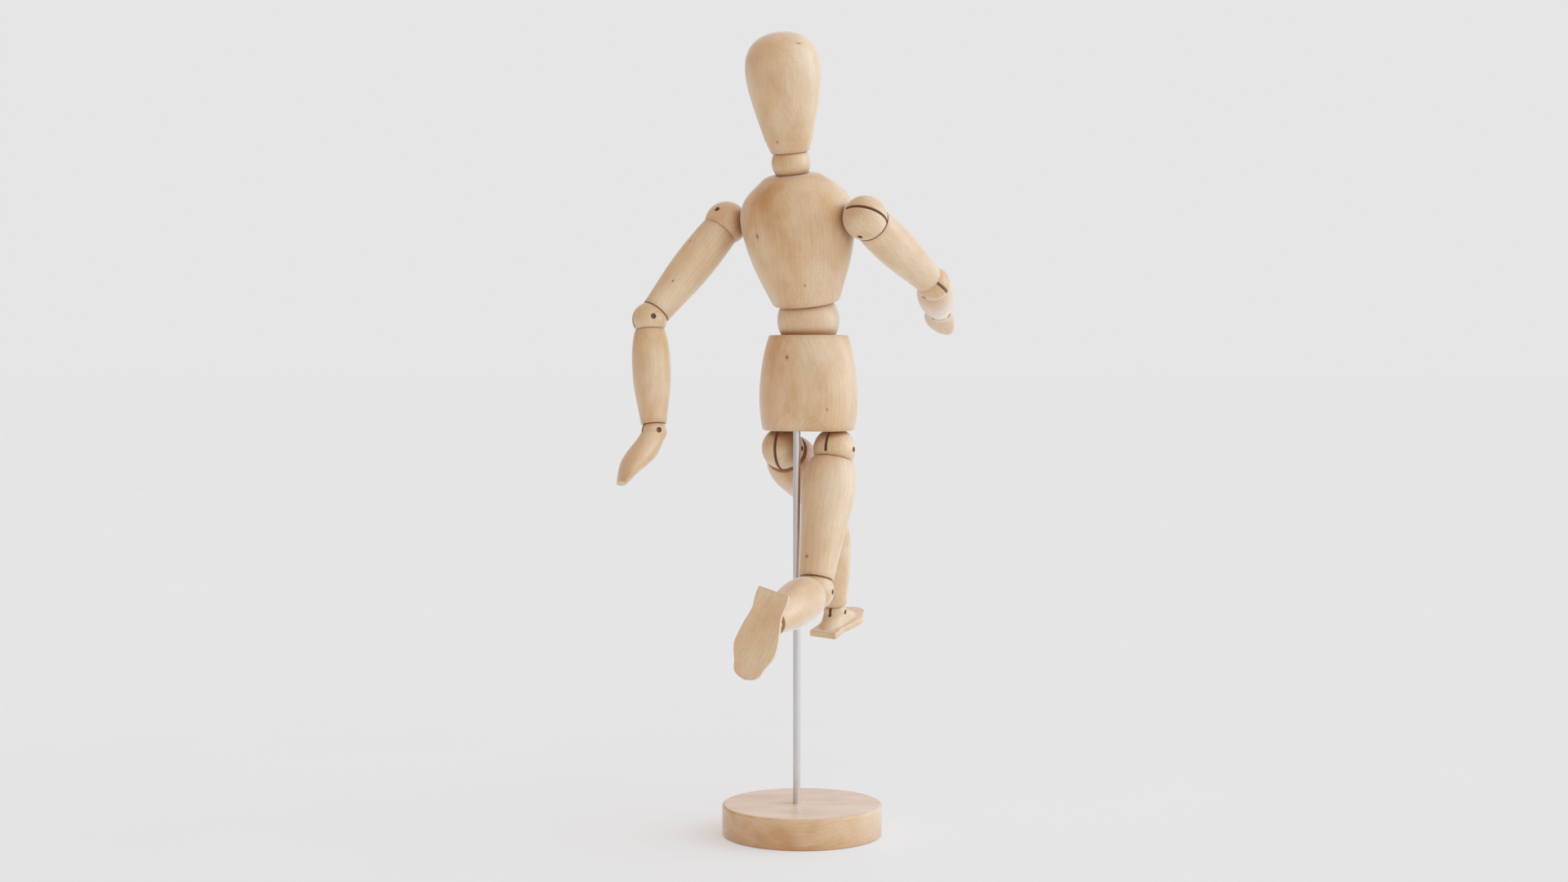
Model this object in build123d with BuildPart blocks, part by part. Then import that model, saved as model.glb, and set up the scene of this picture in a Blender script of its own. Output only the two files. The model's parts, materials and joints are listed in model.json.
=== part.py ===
from build123d import *
import os

os.makedirs("parts", exist_ok=True)

# Jointed wooden artist's figure on a rod and round base.
# Frame: +Z up, the figure faces -Y, its left side is +X.
# Origin: centre of the underside of the base. Lengths are mm, angles degrees.

# ---- stand ----
BASE_R = 33.0
BASE_H = 12.8
ROD_R = 1.5
ROD_X = 1.9          # the rod hole was drilled slightly off the middle of the disc
ROD_Y = 1.2
ROD_FOOT = 3.0       # height of the rod's lower end inside the base
ROD_TOP = 191.0      # height of the rod's upper end inside the pelvis

# ---- fits ----
CUP_GAP = 0.25       # ball to cup
RUN_GAP = 0.05       # pins, eyes and swivel plugs
KERF = 1.3           # saw kerf in the balls
STRAP = 1.0          # thickness of the steel strap links

# ---- balls ----
WAIST_BALL = 12.9
NECK_BALL = 8.0
SHOULDER_BALL = 9.0
ELBOW_BALL = 7.1
WRIST_BALL = 5.2
HIP_BALL = 8.8
KNEE_BALL = 8.0
ANKLE_BALL = 5.2

# ---- heights and spacings of the ball centres ----
PELVIS_Y = ROD_Y - 10.5
PELVIS_BOTTOM = 166.5
PELVIS_TOP = 206.0
HIP_Z = 159.0
HIP_X = 12.1
WAIST_Z = 212.3
CHEST_BOTTOM = 7.3   # from the waist ball centre along the chest
CHEST_TOP = 60.6
SHOULDER_S = 42.0
SHOULDER_X = 33.0
SHOULDER_Y = 2.5     # the shoulder axle runs behind the middle of the chest
NECK_S = 65.3
UPPER_ARM = 54.0
FOREARM = 46.5
THIGH = 60.0
SHIN = 49.5

# ---- the stored running pose ----
WAIST_BEND, WAIST_LEAN, WAIST_TWIST = -12.5, 0.6, -3.0
NECK_NOD, NECK_TILT, NECK_TURN = 1.5, -0.6, 3.0
POSE_ARM = {  # swing, raise, twist, elbow, wrist pin direction, wrist
    "left": (50.0, 18.8, 39.5, -39.8, -9.5, 32.0),
    "right": (-49.7, -6.8, -65.0, -33.0, 90.0, 1.5),
}
POSE_LEG = {  # turn, swing, twist, knee, ankle turn, foot tip
    "left": (6.0, -62.0, 3.5, 44.5, 3.5, 4.5),
    "right": (2.0, 18.8, -4.5, 61.4, -15.5, 19.0),
}
SIDE = {"left": 1, "right": -1}


def move(x=0.0, y=0.0, z=0.0):
    return Location((x, y, z))


def turn(x=0.0, y=0.0, z=0.0):
    return Location((0, 0, 0), (x, y, z))


def side_plane(frame):
    """Plane whose first axis is the frame's x and second axis the frame's z."""
    p = Plane(frame)
    return Plane(origin=p.origin, x_dir=p.x_dir, z_dir=-p.y_dir)


def bend_plane(frame):
    """Plane whose first axis is the frame's y and second axis the frame's z."""
    p = Plane(frame)
    return Plane(origin=p.origin, x_dir=p.y_dir, z_dir=p.x_dir)


def axis_of(frame):
    p = Plane(frame)
    return Axis(p.origin, p.z_dir)


def save(part, name):
    part.label = name
    export_step(part, "parts/" + name + ".step")


# ---- skeleton: one frame per moving piece, limb frames point down the limb ----
DOWN = turn(x=180)
pelvis_at = move(ROD_X, PELVIS_Y, 0)
waist_at = pelvis_at * move(z=WAIST_Z) * turn(x=WAIST_BEND)
waist_link_at = waist_at * turn(y=WAIST_LEAN)
chest_at = waist_link_at * turn(z=WAIST_TWIST)
neck_at = chest_at * move(z=NECK_S) * turn(x=NECK_NOD)
neck_link_at = neck_at * turn(y=NECK_TILT)
head_at = neck_link_at * turn(z=NECK_TURN)


def arm_frames(side):
    swing, raise_, twist, elbow, roll, wrist = POSE_ARM[side]
    shoulder = chest_at * move(SIDE[side] * SHOULDER_X, SHOULDER_Y, SHOULDER_S)
    ball = shoulder * DOWN * turn(x=swing)
    link = ball * turn(y=raise_)
    upper = link * turn(z=twist)
    fore = upper * move(z=UPPER_ARM) * turn(x=elbow)
    palm = fore * move(z=FOREARM) * turn(z=roll) * turn(x=wrist)
    return ball, link, upper, fore, palm


def leg_frames(side):
    turn_out, swing, twist, knee, ankle_turn, tip = POSE_LEG[side]
    hip = pelvis_at * move(SIDE[side] * HIP_X, 0, HIP_Z) * turn(z=turn_out)
    ball = hip * DOWN * turn(x=swing)
    thigh = ball * turn(z=twist)
    shin = thigh * move(z=THIGH) * turn(x=knee)
    ankle = shin * move(z=SHIN) * turn(z=ankle_turn)
    return hip, ball, thigh, shin, ankle, ankle * turn(x=tip)


# ---- stand ----
def make_base():
    with BuildPart() as base:
        with BuildSketch(Plane.XY):
            Circle(BASE_R)
        extrude(amount=BASE_H)
        fillet(base.edges().group_by(Axis.Z)[-1], 1.0)
        fillet(base.edges().group_by(Axis.Z)[0], 0.6)
        with BuildSketch(Plane.XY.offset(ROD_FOOT)):
            with Locations((ROD_X, ROD_Y)):
                Circle(ROD_R + 0.02)
        extrude(amount=BASE_H, mode=Mode.SUBTRACT)
    save(base.part, "base")


def make_rod():
    with BuildPart() as rod:
        with BuildSketch(Plane.XY.offset(ROD_FOOT)):
            with Locations((ROD_X, ROD_Y)):
                Circle(ROD_R)
        extrude(amount=ROD_TOP - ROD_FOOT)
        chamfer(rod.edges().group_by(Axis.Z)[-1], 0.3)
    save(rod.part, "rod")


# ---- trunk ----
PELVIS_SECTIONS = (  # height, half width, half depth
    (166.5, 19.6, 16.9), (175.0, 20.9, 17.7), (184.0, 21.0, 17.8),
    (192.0, 20.2, 17.3), (200.0, 18.6, 16.4), (206.0, 16.6, 15.2),
)
CHEST_SECTIONS = (  # distance along the chest, half width, half depth
    (7.3, 13.7, 13.2), (13.0, 16.3, 15.2), (22.0, 20.1, 17.6), (32.0, 23.2, 19.0),
    (41.0, 24.7, 19.5), (47.5, 24.0, 18.9), (53.0, 20.6, 17.0), (57.0, 15.8, 13.8),
    (60.6, 7.4, 7.4),
)
FACET_TILT = 28.0    # flat sanded across the lower back edge of the pelvis
FACET_TURN = 10.0
FACET_R = 13.4
LOOP_R = 3.0         # bend radius of the interlocked wire loops in the waist ball
LOOP_WIRE = 0.6
NECK_LOOP_R = 2.4
NECK_LOOP_WIRE = 0.5


def sections(frame, rows):
    """Loft through ellipses square to the frame's z."""
    faces = []
    for s, a, b in rows:
        with BuildSketch(Plane(frame).offset(s)) as ring:
            Ellipse(a, b)
        faces.append(ring.sketch.face())
    loft(faces)


def bore(frame, radius, start, length, at=((0, 0),)):
    """Drill round holes along the frame's z."""
    with BuildSketch(Plane(frame).offset(start)) as holes:
        with Locations(*at):
            Circle(radius)
    extrude(holes.sketch, amount=length, mode=Mode.SUBTRACT)


def make_pelvis():
    hips = [pelvis_at * move(s * HIP_X, 0, HIP_Z) for s in (1, -1)]
    with BuildPart() as pelvis:
        sections(pelvis_at, PELVIS_SECTIONS)
        fillet(pelvis.edges().group_by(Axis.Z)[0], 1.3)
        fillet(pelvis.edges().group_by(Axis.Z)[-1], 0.6)
        facet = pelvis_at * turn(z=FACET_TURN) * move(0, FACET_R, PELVIS_BOTTOM) * turn(x=-FACET_TILT)
        with Locations(facet * move(0, 15, 0)):
            Box(60, 30, 60, mode=Mode.SUBTRACT)
        with Locations(pelvis_at * move(z=WAIST_Z)):
            Sphere(WAIST_BALL + CUP_GAP, mode=Mode.SUBTRACT)
        with Locations(*hips):
            Sphere(HIP_BALL + CUP_GAP, mode=Mode.SUBTRACT)
        bore(pelvis_at, 2.5 + RUN_GAP, HIP_Z, 31.5, ((HIP_X, 0), (-HIP_X, 0)))
        bore(move(ROD_X, ROD_Y), ROD_R + RUN_GAP, HIP_Z, ROD_TOP + 0.5 - HIP_Z)
        bore(pelvis_at, LOOP_WIRE + 0.02, WAIST_Z - 22.0, 20.0, ((LOOP_R, 0), (-LOOP_R, 0)))
    save(pelvis.part, "pelvis")


def make_chest():
    with BuildPart() as chest:
        sections(chest_at, CHEST_SECTIONS)
        fillet(chest.edges().sort_by_distance(Plane(chest_at).offset(CHEST_BOTTOM).origin)[0], 0.8)
        with Locations(chest_at):
            Sphere(WAIST_BALL + CUP_GAP, mode=Mode.SUBTRACT)
        with Locations(chest_at * move(z=NECK_S)):
            Sphere(NECK_BALL + CUP_GAP, mode=Mode.SUBTRACT)
        for s in (1, -1):
            with Locations(chest_at * move(s * SHOULDER_X, SHOULDER_Y, SHOULDER_S)):
                Sphere(SHOULDER_BALL + CUP_GAP, mode=Mode.SUBTRACT)
        bore(chest_at, 4.0 + RUN_GAP, 5.0, 27.0)
        bore(chest_at * move(-30, SHOULDER_Y, SHOULDER_S) * turn(y=90), ROD_R + 0.02, 0, 60)
        bore(chest_at, NECK_LOOP_WIRE + 0.02, NECK_S - 18.0, 16.0, ((NECK_LOOP_R, 0), (-NECK_LOOP_R, 0)))
    save(chest.part, "chest")


HEAD_PROFILE = (  # radius, distance from the neck ball centre
    (8.0, 4.9), (9.9, 10.0), (12.5, 20.0), (14.6, 29.5), (15.4, 37.0), (14.4, 44.0), (11.0, 49.2), (6.2, 51.9),
)
HEAD_TOP = 52.8


def make_head():
    rim = NECK_BALL + CUP_GAP
    s0 = 4.3
    r0 = (rim**2 - s0**2) ** 0.5
    with BuildPart() as head:
        with BuildSketch(side_plane(head_at)):
            with BuildLine():
                Line((0, rim), (0, HEAD_TOP))
                Spline((0, HEAD_TOP), *reversed(HEAD_PROFILE), tangents=((1, 0), (-0.37, -1)))
                ThreePointArc(HEAD_PROFILE[0], (7.8, s0 + 0.14), (7.4, s0))
                Line((7.4, s0), (r0, s0))
                ThreePointArc((r0, s0), (rim * 0.5, rim * 0.75**0.5), (0, rim))
            make_face()
        revolve(axis=axis_of(head_at))
        bore(head_at, 3.1 + RUN_GAP, 5.0, 21.0)
    save(head.part, "head")


def bored_ball(name, frame, radius, loop_r, wire):
    """Wooden ball with a hollow middle and a wedge slot each way for the wire loops."""
    half = loop_r + wire + 0.35
    reach = radius + 1
    flare = reach * 0.56
    with BuildPart() as ball:
        with Locations(frame):
            Sphere(radius)
            Sphere(half + 0.5, mode=Mode.SUBTRACT)
        with BuildSketch(bend_plane(frame)):
            Polygon((-1, 0), (1, 0), (1 + flare, -reach), (-1 - flare, -reach), align=None)
        extrude(amount=half, both=True, mode=Mode.SUBTRACT)
        with BuildSketch(side_plane(frame)):
            Polygon((-1, 0), (1, 0), (1 + flare, reach), (-1 - flare, reach), align=None)
        extrude(amount=half, both=True, mode=Mode.SUBTRACT)
    save(ball.part, name)


def wire_loop(name, plane, loop_r, wire, leg, plug=None):
    """U-shaped wire round the plane's origin with its legs along the plane's +y."""
    with BuildPart() as loop:
        with BuildLine(plane):
            Line((loop_r, leg), (loop_r, 0))
            CenterArc((0, 0), loop_r, 0, -180)
            Line((-loop_r, 0), (-loop_r, leg))
        start = Plane(origin=plane.from_local_coords(Vector(loop_r, leg)), z_dir=-plane.y_dir)
        with BuildSketch(start):
            Circle(wire)
        sweep()
        if plug:
            radius, s0, s1 = plug
            with BuildSketch(Plane(origin=plane.from_local_coords(Vector(0, s0)), z_dir=plane.y_dir)):
                Circle(radius)
            extrude(amount=s1 - s0)
    save(loop.part, name)


def make_trunk_links():
    lower = side_plane(pelvis_at * move(z=WAIST_Z) * turn(x=180))
    wire_loop("waist_loop", lower, LOOP_R, LOOP_WIRE, 21.5)
    wire_loop("waist_link", bend_plane(waist_link_at), LOOP_R, LOOP_WIRE, 16.0, (4.0, 15.0, 30.0))
    lower = side_plane(chest_at * move(z=NECK_S) * turn(x=180))
    wire_loop("neck_loop", lower, NECK_LOOP_R, NECK_LOOP_WIRE, 17.5)
    wire_loop("neck_link", bend_plane(neck_link_at), NECK_LOOP_R, NECK_LOOP_WIRE, 12.0, (3.1, 10.5, 24.0))


def make_shoulder_axle():
    half = SHOULDER_X - 5.6
    with BuildPart() as axle:
        with BuildSketch(Plane(chest_at * move(-half, SHOULDER_Y, SHOULDER_S) * turn(y=90))):
            Circle(ROD_R)
        extrude(amount=2 * half)
    save(axle.part, "shoulder_axle")


# ---- limbs ----
PIN_R = 1.1
EYE_R = 2.4
PLUG_R = 2.5
CORE_R = PLUG_R + RUN_GAP


def limb(name, frame, profile, top, bottom, length, seat=None, core=CORE_R):
    """Turned limb: an outside curve between two flat rims, a cup at each end and a bore.

    top and bottom are (ball radius, rim distance from that ball's centre). With a seat the
    top ball is glued on a flat at that depth in place of running in the cup.
    """
    cup = top[0] + CUP_GAP
    cup_low = bottom[0] + CUP_GAP
    s0, s1 = top[1], length - bottom[1]
    r0 = (cup**2 - s0**2) ** 0.5
    r1 = (cup_low**2 - bottom[1] ** 2) ** 0.5
    first, last = profile[0], profile[-1]
    with BuildPart() as part:
        with BuildSketch(side_plane(frame)):
            with BuildLine():
                Line((0, length - cup_low), (0, cup))
                ThreePointArc((0, cup), (cup * 0.5, cup * 0.75**0.5), (r0, s0))
                Line((r0, s0), (first[0] - 0.35, s0))
                ThreePointArc((first[0] - 0.35, s0), (first[0] - 0.1, s0 + 0.1), (first[0], s0 + 0.35))
                Spline((first[0], s0 + 0.35), *profile[1:-1], (last[0], s1 - 0.35))
                ThreePointArc((last[0], s1 - 0.35), (last[0] - 0.1, s1 - 0.1), (last[0] - 0.35, s1))
                Line((last[0] - 0.35, s1), (r1, s1))
                ThreePointArc((r1, s1), (cup_low * 0.5, length - cup_low * 0.75**0.5), (0, length - cup_low))
            make_face()
        revolve(axis=axis_of(frame))
        if seat:
            with BuildSketch(Plane(frame).offset(seat)):
                Circle(1.0 + (top[0] ** 2 - seat**2) ** 0.5)
            extrude(amount=cup + 0.5 - seat, mode=Mode.ADD)
        bore(frame, core, 0, length)
    save(part.part, name)


def slotted_ball(name, frame, radius, floor, direction, pin_r=PIN_R, seat=None, extra=None):
    """Ball with a saw kerf in the frame's yz plane and a cross hole along the frame's x.

    The kerf is open towards direction (a unit step in y or z) and stops floor past centre.
    """
    dy, dz = direction
    size = 2 * radius
    with BuildPart() as ball:
        with Locations(frame):
            Sphere(radius)
        with Locations(frame * move(0, dy * (size / 2 - floor), dz * (size / 2 - floor))):
            Box(KERF, size + 4 * abs(dz), size + 4 * abs(dy), mode=Mode.SUBTRACT)
        bore(frame * move(-size, 0, 0) * turn(y=90), pin_r + RUN_GAP, 0, 2 * size)
        if seat:
            with Locations(frame * move(z=seat + radius)):
                Box(size, size, size, mode=Mode.SUBTRACT)
        if extra:
            bore(frame * extra[0], extra[1], 0, extra[2])
    save(ball.part, name)


def cross_pin(name, frame, half, radius=PIN_R):
    with BuildPart() as pin:
        with BuildSketch(Plane(frame * move(-half, 0, 0) * turn(y=90))):
            Circle(radius)
        extrude(amount=2 * half)
    save(pin.part, name)


def strap_link(name, frame, plug_from, plug_to, eye=EYE_R, pin_r=PIN_R, plug_r=PLUG_R):
    """Flat steel strap along the frame's +z, an eye round the pin and a round plug at the end."""
    p = Plane(frame)
    with BuildPart() as link:
        with BuildSketch(bend_plane(frame)):
            Circle(eye)
            with Locations((0, (plug_from + 0.5) / 2)):
                Rectangle(2 * 1.5, plug_from + 0.5)
            Circle(pin_r + RUN_GAP, mode=Mode.SUBTRACT)
        extrude(amount=STRAP / 2, both=True)
        with BuildSketch(p.offset(plug_from)):
            Circle(plug_r)
        extrude(amount=plug_to - plug_from)
    save(link.part, name)


def coil(name, frame, start, end, radius=1.9, wire=0.4, stud_from=None):
    """Tension spring along the frame's z; a headed stud can carry its pull up into the ball."""
    turns = 9
    head_thick = 0.8
    with BuildPart() as spring:
        with BuildLine() as path:
            winding = Helix((end - start) / turns, end - start, radius, center=(0, 0, start))
        with BuildSketch(Plane(origin=winding @ 0, z_dir=winding % 0)):
            Circle(wire)
        sweep(path=path.wire(), is_frenet=True)
        if stud_from is not None:
            with BuildSketch(Plane.XY.offset(stud_from)):
                Circle(wire)
            extrude(amount=start - 2 * head_thick - stud_from)
            with BuildSketch(Plane.XY.offset(start - 2 * head_thick)):
                Circle(radius)
            extrude(amount=head_thick)
    save(spring.part.moved(frame), name)


UPPER_ARM_PROFILE = (
    (7.9, 5.3), (8.3, 14.0), (8.3, 24.0), (7.7, 34.0), (6.9, 42.0), (6.3, 49.4),
)
FOREARM_PROFILE = (
    (6.3, 4.6), (7.6, 12.0), (7.9, 20.0), (7.3, 30.0), (6.0, 38.0), (5.3, 43.3),
)
THIGH_PROFILE = (
    (9.1, 5.2), (11.0, 13.0), (10.5, 24.0), (9.3, 34.0), (8.2, 44.0), (7.2, 54.8),
)
SHIN_PROFILE = (
    (7.0, 5.2), (9.0, 13.0), (9.1, 20.0), (8.1, 30.0), (6.6, 38.0), (5.6, 45.8),
)
HAND_SECTIONS = (  # distance, half width, half thickness, offset to the back of the hand
    (0.0, 4.9, 4.9, 0.0), (6.0, 5.5, 5.1, -0.5), (11.0, 6.7, 5.2, 0.2), (16.0, 7.5, 4.5, 1.3),
    (21.0, 6.9, 3.2, 1.7), (26.5, 4.2, 1.4, 1.6),
)


def make_hand(side, frame):
    with BuildPart() as hand:
        for s, a, b, back in HAND_SECTIONS:
            with BuildSketch(Plane(frame).offset(s)):
                with Locations((0, -back)):
                    Ellipse(a, b)
        loft()
        with Locations(frame):
            Sphere(WRIST_BALL)
        tip = hand.edges().sort_by_distance(Plane(frame).offset(26.5).origin)[0]
        fillet(tip, 0.7)
        with Locations(frame * move(z=-2.0)):
            Box(KERF, 12, 10, mode=Mode.SUBTRACT)
        bore(frame * move(-10, 0, 0) * turn(y=90), PIN_R + RUN_GAP, 0, 20)
    save(hand.part, side + "_hand")


HEEL = -13.4
TOE = 22.2
SOLE = 8.2           # ankle centre to the sole
SOLE_THICK = 2.7
HALF_SOLE = ((6.2, HEEL), (6.5, HEEL + 3.5), (6.1, -5.0), (7.1, 0.0), (8.2, 6.0), (8.4, 10.5), (6.1, 16.8))
INSTEP = (5.9, 14.6, 2.6)   # half width, half length and centre of the instep where it meets the sole


def make_foot(side, frame):
    top = SOLE - SOLE_THICK
    with BuildPart() as foot:
        with BuildSketch(Plane(frame).offset(top)):
            with BuildLine():
                half = Spline(*HALF_SOLE, (0, TOE), tangents=((0.15, 1), (-1, 0.15)))
                mirror(half, about=Plane.YZ)
                Line((-HALF_SOLE[0][0], HEEL), HALF_SOLE[0])
            make_face()
        extrude(amount=SOLE_THICK)
        fillet(foot.faces().sort_by_distance(Plane(frame).offset(top).origin)[0].edges(), 0.6)
        with BuildSketch(Plane(frame)):
            Circle(4.9)
        with BuildSketch(Plane(frame).offset(top + 0.5)):
            with Locations((0, INSTEP[2])):
                Ellipse(INSTEP[0], INSTEP[1])
        loft()
        with Locations(frame):
            Sphere(ANKLE_BALL)
        with Locations(frame * move(z=-2.0)):
            Box(KERF, 12, 10, mode=Mode.SUBTRACT)
        bore(frame * move(-10, 0, 0) * turn(y=90), PIN_R + RUN_GAP, 0, 20)
    save(foot.part, side + "_foot")


def make_arm(side):
    ball, link, upper, fore, palm = arm_frames(side)
    out = SIDE[side]
    cross = turn(z=90)
    axle_hole = (turn(z=-90) * move(-out * 9.5, 0, 0) * turn(y=90 * out), ROD_R + 0.08, 4.4)
    slotted_ball(side + "_shoulder_ball", ball * cross, SHOULDER_BALL, 5.0, (-out, 0), extra=axle_hole)
    cross_pin(side + "_shoulder_pin", ball * cross, 8.2)
    strap_link(side + "_shoulder_link", link * cross, 11.0, 15.0)
    limb(side + "_upper_arm", upper, UPPER_ARM_PROFILE, (SHOULDER_BALL, 5.3), (ELBOW_BALL, 4.6), UPPER_ARM)
    coil(side + "_arm_spring", upper, 15.6, 38.4)
    strap_link(side + "_elbow_link", upper * move(z=UPPER_ARM) * DOWN, 11.0, 15.0)
    slotted_ball(side + "_elbow_ball", fore, ELBOW_BALL, 3.4, (0, -1), seat=6.0)
    cross_pin(side + "_elbow_pin", fore, 6.3)
    limb(side + "_forearm", fore, FOREARM_PROFILE, (ELBOW_BALL, 4.6), (WRIST_BALL, 3.2), FOREARM, seat=6.0)
    at_wrist = fore * move(z=FOREARM) * turn(z=POSE_ARM[side][4])
    strap_link(side + "_wrist_link", at_wrist * DOWN, 8.5, 20.0)
    make_hand(side, palm)
    cross_pin(side + "_wrist_pin", palm, 4.5)


def make_leg(side):
    hip, ball, thigh, shin, ankle, foot = leg_frames(side)
    strap_link(side + "_hip_link", hip, 11.0, 30.0)
    stud_hole = (move(z=3.0), 0.4 + RUN_GAP, 8.0)
    slotted_ball(side + "_hip_ball", ball, HIP_BALL, 3.2, (0, -1), extra=stud_hole)
    cross_pin(side + "_hip_pin", ball, 8.0)
    limb(side + "_thigh", thigh, THIGH_PROFILE, (HIP_BALL, 5.2), (KNEE_BALL, 5.2), THIGH)
    coil(side + "_thigh_spring", thigh, 15.0, 42.2, stud_from=4.0)
    strap_link(side + "_knee_link", thigh * move(z=THIGH) * DOWN, 12.0, 17.0)
    slotted_ball(side + "_knee_ball", shin, KNEE_BALL, 3.4, (0, -1), seat=6.8)
    cross_pin(side + "_knee_pin", shin, 7.2)
    limb(side + "_shin", shin, SHIN_PROFILE, (KNEE_BALL, 5.2), (ANKLE_BALL, 3.7), SHIN, seat=6.8)
    strap_link(side + "_ankle_link", ankle * DOWN, 9.0, 30.0)
    make_foot(side, foot)
    cross_pin(side + "_ankle_pin", foot, 4.5)


make_base()
make_rod()
make_pelvis()
make_chest()
make_head()
bored_ball("waist_ball", waist_at, WAIST_BALL, LOOP_R, LOOP_WIRE)
bored_ball("neck_ball", neck_at, NECK_BALL, NECK_LOOP_R, NECK_LOOP_WIRE)
make_trunk_links()
make_shoulder_axle()
for which in ("left", "right"):
    make_arm(which)
    make_leg(which)
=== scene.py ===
import json
import math

import bpy
from mathutils import Matrix, Vector
from mathutils.bvhtree import BVHTree


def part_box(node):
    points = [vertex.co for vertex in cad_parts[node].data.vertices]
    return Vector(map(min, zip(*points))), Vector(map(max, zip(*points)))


# Looks for the jointed wooden artist's figure. Lengths are metres unless a name says mm.

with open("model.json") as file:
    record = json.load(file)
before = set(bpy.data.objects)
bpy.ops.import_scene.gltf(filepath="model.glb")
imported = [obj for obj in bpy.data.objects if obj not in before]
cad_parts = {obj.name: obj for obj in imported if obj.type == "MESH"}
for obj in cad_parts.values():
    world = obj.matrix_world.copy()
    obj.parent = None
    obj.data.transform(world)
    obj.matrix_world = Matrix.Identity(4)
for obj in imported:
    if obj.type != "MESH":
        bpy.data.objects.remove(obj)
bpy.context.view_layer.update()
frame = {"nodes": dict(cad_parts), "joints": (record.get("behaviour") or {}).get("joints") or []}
NODES = frame["nodes"]
PIVOT = {joint["name"]: Vector(joint["pos_m"]) for joint in frame["joints"]}
AXIS = {joint["name"]: Vector(joint["axis"]).normalized() for joint in frame["joints"]}
MM = 1000.0


# ---- camera, light and floor ----
CAMERA_AT = Vector((-0.4132, 0.7930, 0.1937))
CAMERA_AZIMUTH = 208.0
CAMERA_DROP = 2.0        # degrees below level
LENS = 50.0              # mm, on a 36 mm wide sensor
BACKDROP = 0.79          # radiance of the empty studio
FLOOR_GLOW = 0.38        # light of its own, which keeps the shadows on the floor faint
FLOOR_HALF = 30.0        # half the floor's side
SUN_SPREAD = 50.0        # degrees, so that the key light's shadows are soft


def view_axes():
    """Directions to the right of, towards and above the stored camera, level with the floor."""
    a = math.radians(CAMERA_AZIMUTH)
    back = Vector((math.sin(a), -math.cos(a), 0))
    return Vector((math.cos(a), math.sin(a), 0)), back, Vector((0, 0, 1))


def make_camera():
    _, back, up = view_axes()
    drop = math.radians(CAMERA_DROP)
    look = -back * math.cos(drop) - up * math.sin(drop)
    data = bpy.data.cameras.new("camera")
    data.lens = LENS
    data.clip_end = 50
    camera = bpy.data.objects.new("camera", data)
    camera.location = CAMERA_AT
    camera.rotation_euler = look.to_track_quat("-Z", "Y").to_euler()
    bpy.context.scene.collection.objects.link(camera)
    bpy.context.scene.camera = camera


def make_sun(name, right, back, up, strength, colour):
    """Wide soft sun that stands this far right of, towards the camera from and above the figure."""
    axes = view_axes()
    towards = axes[0] * right + axes[1] * back + axes[2] * up
    data = bpy.data.lights.new(name, "SUN")
    data.energy = strength
    data.angle = math.radians(SUN_SPREAD)
    data.color = colour
    sun = bpy.data.objects.new(name, data)
    sun.rotation_euler = towards.to_track_quat("Z", "Y").to_euler()
    bpy.context.scene.collection.objects.link(sun)


SIDE_LIGHT = (           # how far to the right, and the light that comes from there
    (-1.0, (0.20, 0.07, 0.02)), (-0.4, (0.60, 0.44, 0.31)),
    (0.35, (0.92, 0.92, 0.94)), (1.0, (1.60, 2.20, 3.30)),
)


def make_world():
    """Even pale studio to the eye; as a light it is stronger from the camera's right."""
    world = bpy.data.worlds.new("studio")
    bpy.context.scene.world = world
    world.use_nodes = True
    nodes, links = world.node_tree.nodes, world.node_tree.links
    surface = nodes["Background"]
    right = view_axes()[0]
    where = nodes.new("ShaderNodeTexCoord")
    across = nodes.new("ShaderNodeVectorMath")
    across.operation = "DOT_PRODUCT"
    across.inputs[1].default_value = right
    links.new(where.outputs["Generated"], across.inputs[0])
    spread = nodes.new("ShaderNodeMapRange")
    spread.inputs["From Min"].default_value = -1.0
    links.new(across.outputs["Value"], spread.inputs["Value"])
    ramp = nodes.new("ShaderNodeValToRGB")
    ramp.color_ramp.interpolation = "B_SPLINE"
    while len(ramp.color_ramp.elements) < len(SIDE_LIGHT):
        ramp.color_ramp.elements.new(0.5)
    for stop, (side, radiance) in zip(ramp.color_ramp.elements, SIDE_LIGHT):
        stop.position = (side + 1) / 2
        stop.color = (*radiance, 1)
    links.new(spread.outputs["Result"], ramp.inputs["Fac"])
    seen = nodes.new("ShaderNodeLightPath")
    choose = nodes.new("ShaderNodeMix")
    choose.data_type = "RGBA"
    choose.inputs[7].default_value = (BACKDROP, BACKDROP, BACKDROP, 1)
    links.new(seen.outputs["Is Camera Ray"], choose.inputs[0])
    links.new(ramp.outputs["Color"], choose.inputs[6])
    links.new(choose.outputs[2], surface.inputs["Color"])


def make_floor():
    """Matt sheet running far past the view, in the backdrop's tone so that no horizon shows."""
    side = FLOOR_HALF
    mesh = bpy.data.meshes.new("floor")
    corners = [(-side, -side, 0), (side, -side, 0), (side, side, 0), (-side, side, 0)]
    mesh.from_pydata(corners, [], [(0, 1, 2, 3)])
    floor = bpy.data.objects.new("floor", mesh)
    bpy.context.scene.collection.objects.link(floor)
    tree = Tree("floor_sheet")
    at = tree.coordinates("Object")
    mottle = tree.noise(at, 6.0, detail=2.0)
    tone = tree.ramp(mottle, ((0.3, (0.506, 0.532, 0.548)), (0.7, (0.516, 0.542, 0.558))))
    tree.set(tree.shader.inputs["Base Color"], tone)
    tree.set(tree.shader.inputs["Roughness"], tree.between(mottle, 0.50, 0.60))
    tree.shader.inputs["Specular IOR Level"].default_value = 0.0
    tree.shader.inputs["Emission Color"].default_value = (1, 1, 1, 1)
    tree.shader.inputs["Emission Strength"].default_value = FLOOR_GLOW
    mesh.materials.append(tree.material)


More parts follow.
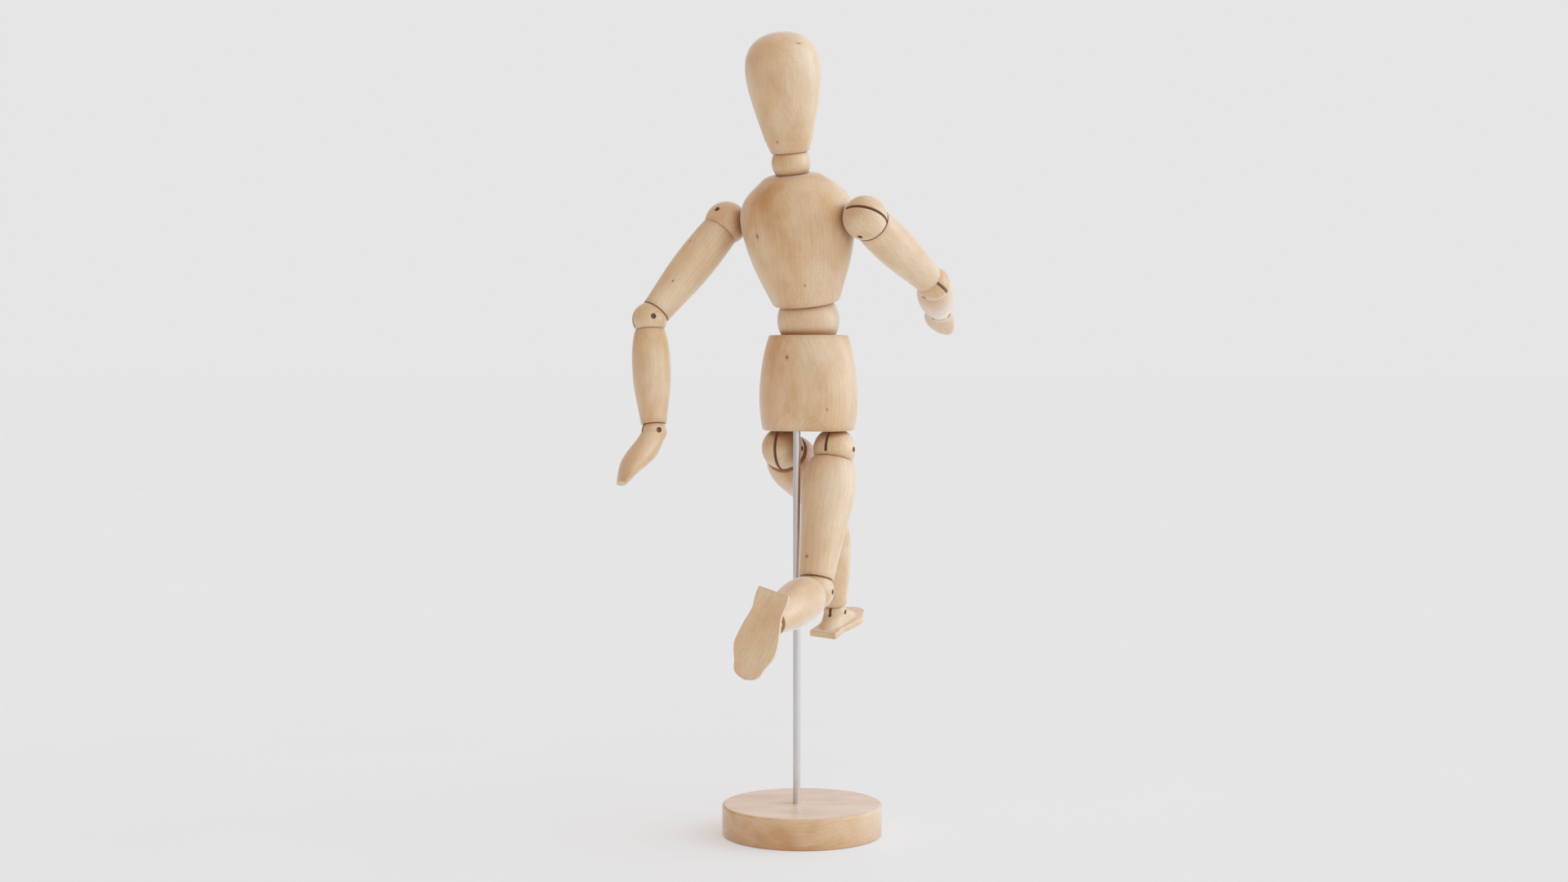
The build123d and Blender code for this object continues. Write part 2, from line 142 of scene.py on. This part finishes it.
# ---- node trees ----
class Tree:
    """Short calls for building one material's node tree."""

    def __init__(self, name):
        self.material = bpy.data.materials.new(name)
        self.material.use_nodes = True
        self.nodes = self.material.node_tree.nodes
        self.links = self.material.node_tree.links
        self.shader = self.nodes["Principled BSDF"]

    def set(self, socket, value):
        if isinstance(value, bpy.types.NodeSocket):
            self.links.new(value, socket)
        elif isinstance(value, tuple) and len(value) == 3 and len(socket.default_value) == 4:
            socket.default_value = (*value, 1)
        else:
            socket.default_value = value

    def add(self, kind, inputs, **settings):
        node = self.nodes.new("ShaderNode" + kind)
        for key, value in settings.items():
            setattr(node, key, value)
        for key, value in inputs.items():
            self.set(node.inputs[key], value)
        return node

    def coordinates(self, kind):
        return self.add("TexCoord", {}).outputs[kind]

    def math(self, operation, a, b):
        return self.add("Math", {0: a, 1: b}, operation=operation).outputs[0]

    def vector(self, operation, a, b):
        return self.add("VectorMath", {0: a, 1: b}, operation=operation).outputs["Vector"]

    def length(self, a):
        return self.add("VectorMath", {0: a}, operation="LENGTH").outputs["Value"]

    def mapped(self, at, move=(0, 0, 0), turn=(0, 0, 0), scale=(1, 1, 1)):
        inputs = {"Vector": at, "Location": move, "Rotation": turn, "Scale": scale}
        return self.add("Mapping", inputs).outputs["Vector"]

    def noise(self, at, scale, detail, rough=0.5, output="Fac"):
        inputs = {"Vector": at, "Scale": scale, "Detail": detail, "Roughness": rough}
        return self.add("TexNoise", inputs).outputs[output]

    def texture(self, at, scale, detail, rough=0.5, output="Fac", move=(0, 0, 0)):
        """Noise with a scale of its own in each direction."""
        return self.noise(self.mapped(at, move=move, scale=scale), 1.0, detail, rough, output)

    def between(self, value, low, high):
        """Value from 0 to 1 spread over low to high."""
        return self.add("MapRange", {"Value": value, "To Min": low, "To Max": high}).outputs[0]

    def step(self, value, start, end):
        """0 below start, 1 above end, smooth in between; start may be the larger."""
        inputs = {"Value": value, "From Min": start, "From Max": end}
        return self.add("MapRange", inputs, interpolation_type="SMOOTHSTEP").outputs[0]

    def ramp(self, value, stops):
        node = self.add("ValToRGB", {"Fac": value})
        elements = node.color_ramp.elements
        while len(elements) < len(stops):
            elements.new(0.5)
        for element, (position, colour) in zip(elements, stops):
            element.position = position
            element.color = (*colour, 1)
        return node.outputs["Color"]

    def mix(self, amount, a, b, blend="MIX"):
        node = self.add("Mix", {0: amount, 6: a, 7: b}, data_type="RGBA", blend_type=blend)
        return node.outputs[2]

    def bump(self, height, distance, strength):
        inputs = {"Height": height, "Distance": distance, "Strength": strength}
        return self.add("Bump", inputs).outputs["Normal"]


# ---- where the grain of each wooden piece runs ----
def grain_frame(origin, along, across):
    """(turn, origin) of a piece's own frame: z along its grain, x near the given direction."""
    z = along.normalized()
    x = (across - z * across.dot(z)).normalized()
    y = z.cross(x)
    return Matrix((x, y, z)).transposed().to_4x4(), origin


def long_axis(node):
    """Direction from the middle of a node's box to the furthest vertex."""
    low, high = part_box(node)
    middle = (low + high) / 2
    far = max((v.co for v in NODES[node].data.vertices), key=lambda co: (co - middle).length)
    return far - middle


def grain_of(node):
    """(origin, grain direction, direction for x) of a wooden node, from the joints it hangs on."""
    side = node.split("_")[0]
    part = node[len(side) + 1:]
    if node == "base":
        return Vector((0, 0, 0)), Vector((0.86, 0.5, 0.0)), Vector((0, 0, 1))
    if node == "pelvis":
        low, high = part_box(node)
        foot = Vector(((low.x + high.x) / 2, (low.y + high.y) / 2, low.z))
        return foot, Vector((0, 0, 1)), Vector((1, 0, 0))
    if node in ("chest", "waist_ball"):
        return PIVOT["waist_twist"], AXIS["waist_twist"], AXIS["waist_bend"]
    if node in ("head", "neck_ball"):
        return PIVOT["neck_turn"], AXIS["neck_turn"], AXIS["neck_nod"]
    joints = {
        "shoulder_ball": ("shoulder_swing", "elbow"), "upper_arm": ("shoulder_swing", "elbow"),
        "elbow_ball": ("elbow", "wrist"), "forearm": ("elbow", "wrist"),
        "hip_ball": ("hip_swing", "knee"), "thigh": ("hip_swing", "knee"),
        "knee_ball": ("knee", "ankle"), "shin": ("knee", "ankle"),
    }
    if part in joints:
        first, last = [side + "_" + name for name in joints[part]]
        return PIVOT[first], PIVOT[last] - PIVOT[first], AXIS[first]
    hinge = side + ("_wrist" if part == "hand" else "_ankle")
    return PIVOT[hinge], long_axis(node), AXIS[hinge]


def ends_along(node, place):
    """Where a node starts and stops along its grain, in mm from its origin."""
    turn, origin = place
    z = Vector(turn.col[2][:3])
    reach = [(v.co - origin).dot(z) * MM for v in NODES[node].data.vertices]
    return min(reach), max(reach)


def surface_spot(node, place, angle, along_mm):
    """Point of a node's outside at an angle round its grain axis and a distance along it."""
    turn, origin = place
    a = math.radians(angle)
    way = (turn.to_3x3() @ Vector((math.cos(a), math.sin(a), 0))).normalized()
    start = origin + turn.to_3x3() @ Vector((0, 0, along_mm / MM))
    mesh = NODES[node].data
    tree = BVHTree.FromPolygons([v.co for v in mesh.vertices], [p.vertices for p in mesh.polygons])
    hit = tree.ray_cast(start + way * 0.1, -way)[0]
    return hit if hit is not None else start


# ---- wood ----
PALE = (0.90, 0.73, 0.51)
ROSE = (0.87, 0.65, 0.44)
HONEY = (0.82, 0.56, 0.30)
AMBER = (0.68, 0.39, 0.17)
LATE = (0.50, 0.27, 0.12)     # the denser wood that closes each year's ring
KNOT = (0.16, 0.08, 0.04)
SEAM = (0.40, 0.19, 0.08)
PAINTED_SHADE_TINT = (0.66, 0.45, 0.29)   # painted shade: warm darkening of the wood where other pieces stand close
RING_TILT = (math.radians(2.5), math.radians(1.5), 0)    # the rings lean a little in each piece
END_DIRT = 0.35
DIRTY_MM = 2.6            # how far from a piece's end the dirt reaches
BUMP_DEPTH = 0.00007
SHADE_REACH, SEAM_WIDTH = 0.030, 0.007   # how far the painted shade near other pieces and the seam tint look


def year_rings(tree, own, ring):
    """(late wood 0 to 1, unevenness 0 to 1, slow sway vector) of the tree the piece came from."""
    slow = tree.texture(own, (0.05, 0.05, 0.012), detail=2.0, output="Color")
    sway = tree.vector("SUBTRACT", slow, (0.5, 0.5, 0.5))
    bent = tree.vector("ADD", own, tree.vector("MULTIPLY", sway, (9.0, 9.0, 0.0)))
    flat = tree.vector("MULTIPLY", bent, (1.0, 1.0, 0.0))
    uneven = tree.texture(own, (0.16, 0.16, 0.03), detail=2.0)
    years = tree.math("DIVIDE", tree.length(flat), ring)
    years = tree.math("ADD", years, tree.math("MULTIPLY", uneven, 1.6))
    growth = tree.math("FRACT", years, 0.0)
    late = tree.math("MULTIPLY", tree.math("POWER", growth, 3.0), tree.step(growth, 1.0, 0.9))
    return late, uneven, sway


def patches(tree, own, late, paleness):
    """Colour of clean wood before its fibres: cloudy patches, bleached and tanned areas, rings."""
    cloud = tree.texture(own, (0.055, 0.055, 0.035), detail=3.0, rough=0.55)
    patch = tree.texture(own, (0.13, 0.13, 0.05), move=(50, 0, 0), detail=2.0)
    cloud = tree.math("ADD", cloud, paleness)
    body = tree.ramp(cloud, ((0.22, AMBER), (0.42, HONEY), (0.64, PALE)))
    body = tree.mix(tree.step(patch, 0.42, 0.72), body, ROSE)
    bleached = tree.texture(own, (0.07, 0.07, 0.03), move=(0, 80, 0), detail=2.0)
    body = tree.mix(tree.math("MULTIPLY", tree.step(bleached, 0.50, 0.70), 0.45), body, PALE)
    tanned = tree.texture(own, (0.06, 0.06, 0.04), move=(90, 0, 40), detail=3.0)
    body = tree.mix(tree.math("MULTIPLY", tree.step(tanned, 0.50, 0.72), 0.40), body, AMBER)
    speck = tree.texture(own, (3.2, 3.2, 1.6), detail=3.0, rough=0.7)
    dots = tree.ramp(speck, ((0.35, (0.84, 0.80, 0.74)), (0.55, (1, 1, 1))))
    body = tree.mix(0.35, body, dots, "MULTIPLY")
    return tree.mix(tree.math("MULTIPLY", late, 0.16), body, LATE)


def fibres(tree, own, body):
    """(colour, fibre, hair, pores): long streaks, fine threads and open pores over the body."""
    fibre = tree.texture(own, (1.5, 1.5, 0.05), detail=4.0, rough=0.6)
    hair = tree.texture(own, (6.0, 6.0, 0.28), detail=2.0, rough=0.6)
    pores = tree.step(tree.texture(own, (4.5, 4.5, 0.9), detail=1.0), 0.66, 0.78)
    tones = ((0.25, (0.82, 0.77, 0.70)), (0.5, (0.97, 0.96, 0.95)), (0.75, (1, 1, 1)))
    streak = tree.ramp(fibre, tones)
    body = tree.mix(0.5, body, streak, "MULTIPLY")
    thread = tree.ramp(hair, ((0.3, (0.86, 0.83, 0.79)), (0.6, (1, 1, 1))))
    body = tree.mix(0.6, body, thread, "MULTIPLY")
    body = tree.mix(tree.math("MULTIPLY", pores, 0.22), body, LATE)
    return body, fibre, hair, pores


def dirt_and_painted_shade(tree, at, body, ends, uneven):
    """Handling dirt at a piece's two ends, oil and dust in the seams, and painted shade where other
    pieces stand close.
    """
    start, stop = ends
    height = tree.add("SeparateXYZ", {0: at}).outputs["Z"]
    low_end = tree.step(height, start + DIRTY_MM, start)
    high_end = tree.step(height, stop - DIRTY_MM, stop)
    dirt = tree.math("MAXIMUM", low_end, high_end)
    dirt = tree.math("MULTIPLY", dirt, tree.between(uneven, 0.1, 1.0))
    body = tree.mix(tree.math("MULTIPLY", dirt, END_DIRT), body, LATE)
    # painted shade: an occlusion mask darkens and warms the wood where other pieces stand close
    near = tree.add("AmbientOcclusion", {"Distance": SHADE_REACH}, samples=6).outputs["AO"]
    painted_shade = tree.math("MULTIPLY", tree.step(near, 0.76, 0.24), 0.90)
    body = tree.mix(painted_shade, body, PAINTED_SHADE_TINT, "MULTIPLY")
    hollow = tree.add("AmbientOcclusion", {"Distance": SEAM_WIDTH}, samples=6).outputs["AO"]
    seam = tree.step(hollow, 0.66, 0.14)
    return tree.mix(tree.math("MULTIPLY", seam, 0.68), body, SEAM)


def knot(tree, at, body, centre, size, stretch, sway):
    """(colour, core 0 to 1) of one small knot or nick: a dark core with a soft halo."""
    away = tree.vector("SUBTRACT", at, centre)
    away = tree.vector("ADD", away, tree.vector("MULTIPLY", sway, (size * 2.0,) * 3))
    ripple = tree.texture(at, (1.1, 1.1, 0.7), detail=2.0, output="Color")
    away = tree.vector("ADD", away, tree.vector("MULTIPLY", ripple, (size * 0.8,) * 3))
    away = tree.vector("SUBTRACT", away, (size * 0.4,) * 3)
    far = tree.length(tree.vector("MULTIPLY", away, (1.0, 1.0, 1.0 / stretch)))
    halo = tree.step(far, size * 2.6, size * 0.6)
    core = tree.step(far, size, size * 0.35)
    body = tree.mix(tree.math("MULTIPLY", halo, 0.45), body, LATE)
    return tree.mix(tree.math("MULTIPLY", core, 0.85), body, KNOT), core


def varnish(tree, body, fibre, late, relief):
    """Satin varnish over the finished colour, with the grain's relief under it."""
    shader = tree.shader
    tree.set(shader.inputs["Base Color"], body)
    gloss = tree.math("ADD", tree.between(fibre, 0.36, 0.50), tree.math("MULTIPLY", late, 0.06))
    tree.set(shader.inputs["Roughness"], gloss)
    shader.inputs["Specular IOR Level"].default_value = 0.5
    shader.inputs["Coat Weight"].default_value = 0.7
    shader.inputs["Coat Roughness"].default_value = 0.34
    shader.inputs["Sheen Weight"].default_value = 0.9
    shader.inputs["Sheen Roughness"].default_value = 0.35
    shader.inputs["Subsurface Weight"].default_value = 0.06
    shader.inputs["Subsurface Radius"].default_value = (1.0, 0.5, 0.25)
    shader.inputs["Subsurface Scale"].default_value = 0.0012
    tree.set(shader.inputs["Normal"], tree.bump(relief, BUMP_DEPTH, 0.8))


def wood(node, seed, pith, ring, paleness, spots):
    """Satin-varnished pale wood with its grain along the node's own axis.

    pith is the tree's centre line from the piece's axis and ring the mean width of a year's
    ring, both mm. spots are (angle, along_mm, radius_mm, stretch) of small knots and marks.
    """
    origin, along, across = grain_of(node)
    place = grain_frame(origin, along, across)
    turn = place[0].to_3x3().transposed()
    shift = -(turn @ origin) * MM
    tree = Tree("wood_" + node)
    at = tree.coordinates("Object")
    at = tree.mapped(at, move=shift, turn=turn.to_euler(), scale=(MM, MM, MM))
    own = tree.mapped(at, move=(pith[0], pith[1], 37.0 * seed), turn=RING_TILT)
    late, uneven, sway = year_rings(tree, own, ring)
    body = patches(tree, own, late, paleness)
    body, fibre, hair, pores = fibres(tree, own, body)
    body = dirt_and_painted_shade(tree, at, body, ends_along(node, place), uneven)

    relief = tree.math("ADD", tree.math("MULTIPLY", fibre, 0.6), tree.math("MULTIPLY", hair, 0.35))
    relief = tree.math("SUBTRACT", relief, tree.math("MULTIPLY", pores, 0.5))
    relief = tree.math("SUBTRACT", relief, tree.math("MULTIPLY", late, 0.15))
    dent = None
    for angle, along_mm, size, stretch in spots:
        centre = tuple((turn @ surface_spot(node, place, angle, along_mm)) * MM + shift)
        body, core = knot(tree, at, body, centre, size, stretch, sway)
        dent = core if dent is None else tree.math("MAXIMUM", dent, core)
    if dent is not None:
        relief = tree.math("SUBTRACT", relief, tree.math("MULTIPLY", dent, 2.5))
    turning = tree.texture(at, (0.02, 0.02, 2.2), detail=2.0)
    relief = tree.math("ADD", relief, tree.math("MULTIPLY", turning, 0.25))
    varnish(tree, body, fibre, late, relief)
    return tree.material


# ---- steel ----
GRIME = (0.10, 0.06, 0.035)
GLOW = (0.60, 0.30, 0.14, 1)
SCRATCH = 0.12            # how much rougher the dull lines are than the bright ones
DULL = 0.72               # the darker tone of the metal, as a share of its tint


def steel(name, grain, tint, rough, grime=0.0, glow=0.0):
    """Drawn wire or strip: fine lines along the given direction, uneven gloss, a little grime.

    glow is a look aid without a physical cause: it keeps saw slots and pin ends from reading black.
    """
    tree = Tree(name)
    turn = Vector(grain).normalized().to_track_quat("Z", "Y").to_matrix().transposed()
    at = tree.mapped(tree.coordinates("Object"), turn=turn.to_euler(), scale=(MM, MM, MM))
    lines = tree.texture(at, (9.0, 9.0, 0.12), detail=3.0, rough=0.6)
    cloud = tree.texture(at, (0.3, 0.3, 0.05), detail=3.0)
    dark = tuple(c * DULL for c in tint)
    colour = tree.mix(tree.between(cloud, 0.0, 0.5), tint, dark)
    colour = tree.mix(tree.math("MULTIPLY", lines, 0.3), colour, dark)
    if grime:
        colour = tree.mix(tree.math("MULTIPLY", cloud, grime), colour, GRIME)
    tree.set(tree.shader.inputs["Base Color"], colour)
    tree.shader.inputs["Metallic"].default_value = 1.0
    if glow:
        tree.shader.inputs["Emission Color"].default_value = GLOW
        tree.shader.inputs["Emission Strength"].default_value = glow
    gloss = tree.between(lines, rough, rough + SCRATCH)
    gloss = tree.math("ADD", gloss, tree.math("MULTIPLY", cloud, 0.08))
    tree.set(tree.shader.inputs["Roughness"], gloss)
    tree.set(tree.shader.inputs["Normal"], tree.bump(lines, 0.00002, 0.5))
    return tree.material


def dress(node, material):
    """Gives a CAD node one material."""
    mesh = NODES[node].data
    mesh.materials.clear()
    mesh.materials.append(material)
    for face in mesh.polygons:
        face.material_index = 0


WOODEN = (
    "base", "pelvis", "waist_ball", "chest", "neck_ball", "head",
    "shoulder_ball", "upper_arm", "elbow_ball", "forearm", "hand",
    "hip_ball", "thigh", "knee_ball", "shin", "foot",
)
SPOTS = {   # node: (angle, along, radius, stretch) of each knot, nick or speck, mm
    "head": ((155, 47.8, 1.2, 0.25), (91, 9.4, 0.5, 1.0)),
    "chest": ((61, 38.4, 0.85, 1.2), (118, 17.0, 0.3, 2.5)),
    "pelvis": ((86, 30.2, 0.65, 1.2), (140, 9.0, 0.3, 2.0)),
    "right_thigh": ((-76, 47.5, 0.6, 1.1),),
    "left_upper_arm": ((-119, 37.0, 0.4, 1.0), (-80, 18.0, 0.3, 2.0)),
    "left_forearm": ((-60, 26.0, 0.3, 1.5),),
    "right_upper_arm": ((60, 26.0, 0.3, 1.5),),
    "base": ((20, -12.0, 0.5, 3.0),),
}
PALENESS = {   # node: how much paler than the rest of the wood
    "base": -0.10, "chest": -0.05, "head": 0.03, "waist_ball": 0.08, "neck_ball": 0.05,
    "left_upper_arm": 0.14, "right_thigh": 0.05,
    "left_shin": 0.05, "right_shin": 0.05, "left_foot": 0.08, "right_foot": 0.12,
}


def dress_all():
    """Each wooden piece is cut from its own place in a tree; the rest is steel."""
    wooden = [n for n in NODES if n in WOODEN or n.split("_", 1)[-1] in WOODEN]
    for count, node in enumerate(sorted(wooden)):
        pith = (18.0 + 9.0 * math.sin(2.1 * count), 15.0 * math.cos(1.3 * count))
        material = wood(
            node, seed=1.0 + count, pith=pith, ring=1.5 + 0.5 * math.sin(1.7 * count + 1),
            paleness=PALENESS.get(node, 0.0), spots=SPOTS.get(node, ()),
        )
        dress(node, material)
    wire = steel("steel_wire", (0, 0, 1), (0.62, 0.62, 0.63), 0.26)
    pin = steel("steel_pin", (0, 0, 1), (0.26, 0.18, 0.12), 0.5, grime=0.9, glow=0.05)
    strap = steel("steel_strap", (0, 0, 1), (0.36, 0.24, 0.15), 0.5, grime=0.6, glow=0.30)
    for node in NODES:
        if node == "rod":
            dress(node, steel("steel_rod", (0, 0, 1), (0.78, 0.77, 0.76), 0.24))
        elif node.endswith("_pin"):
            dress(node, pin)
        elif node.endswith("_link") and node.split("_")[0] in ("left", "right"):
            dress(node, strap)
        elif node not in wooden:
            dress(node, wire)


make_camera()
make_world()
make_floor()
make_sun("key", 0.92, 0.0, 0.25, 0.75, (0.80, 0.97, 1.25))
dress_all()
bpy.context.scene.view_settings.view_transform = "Standard"
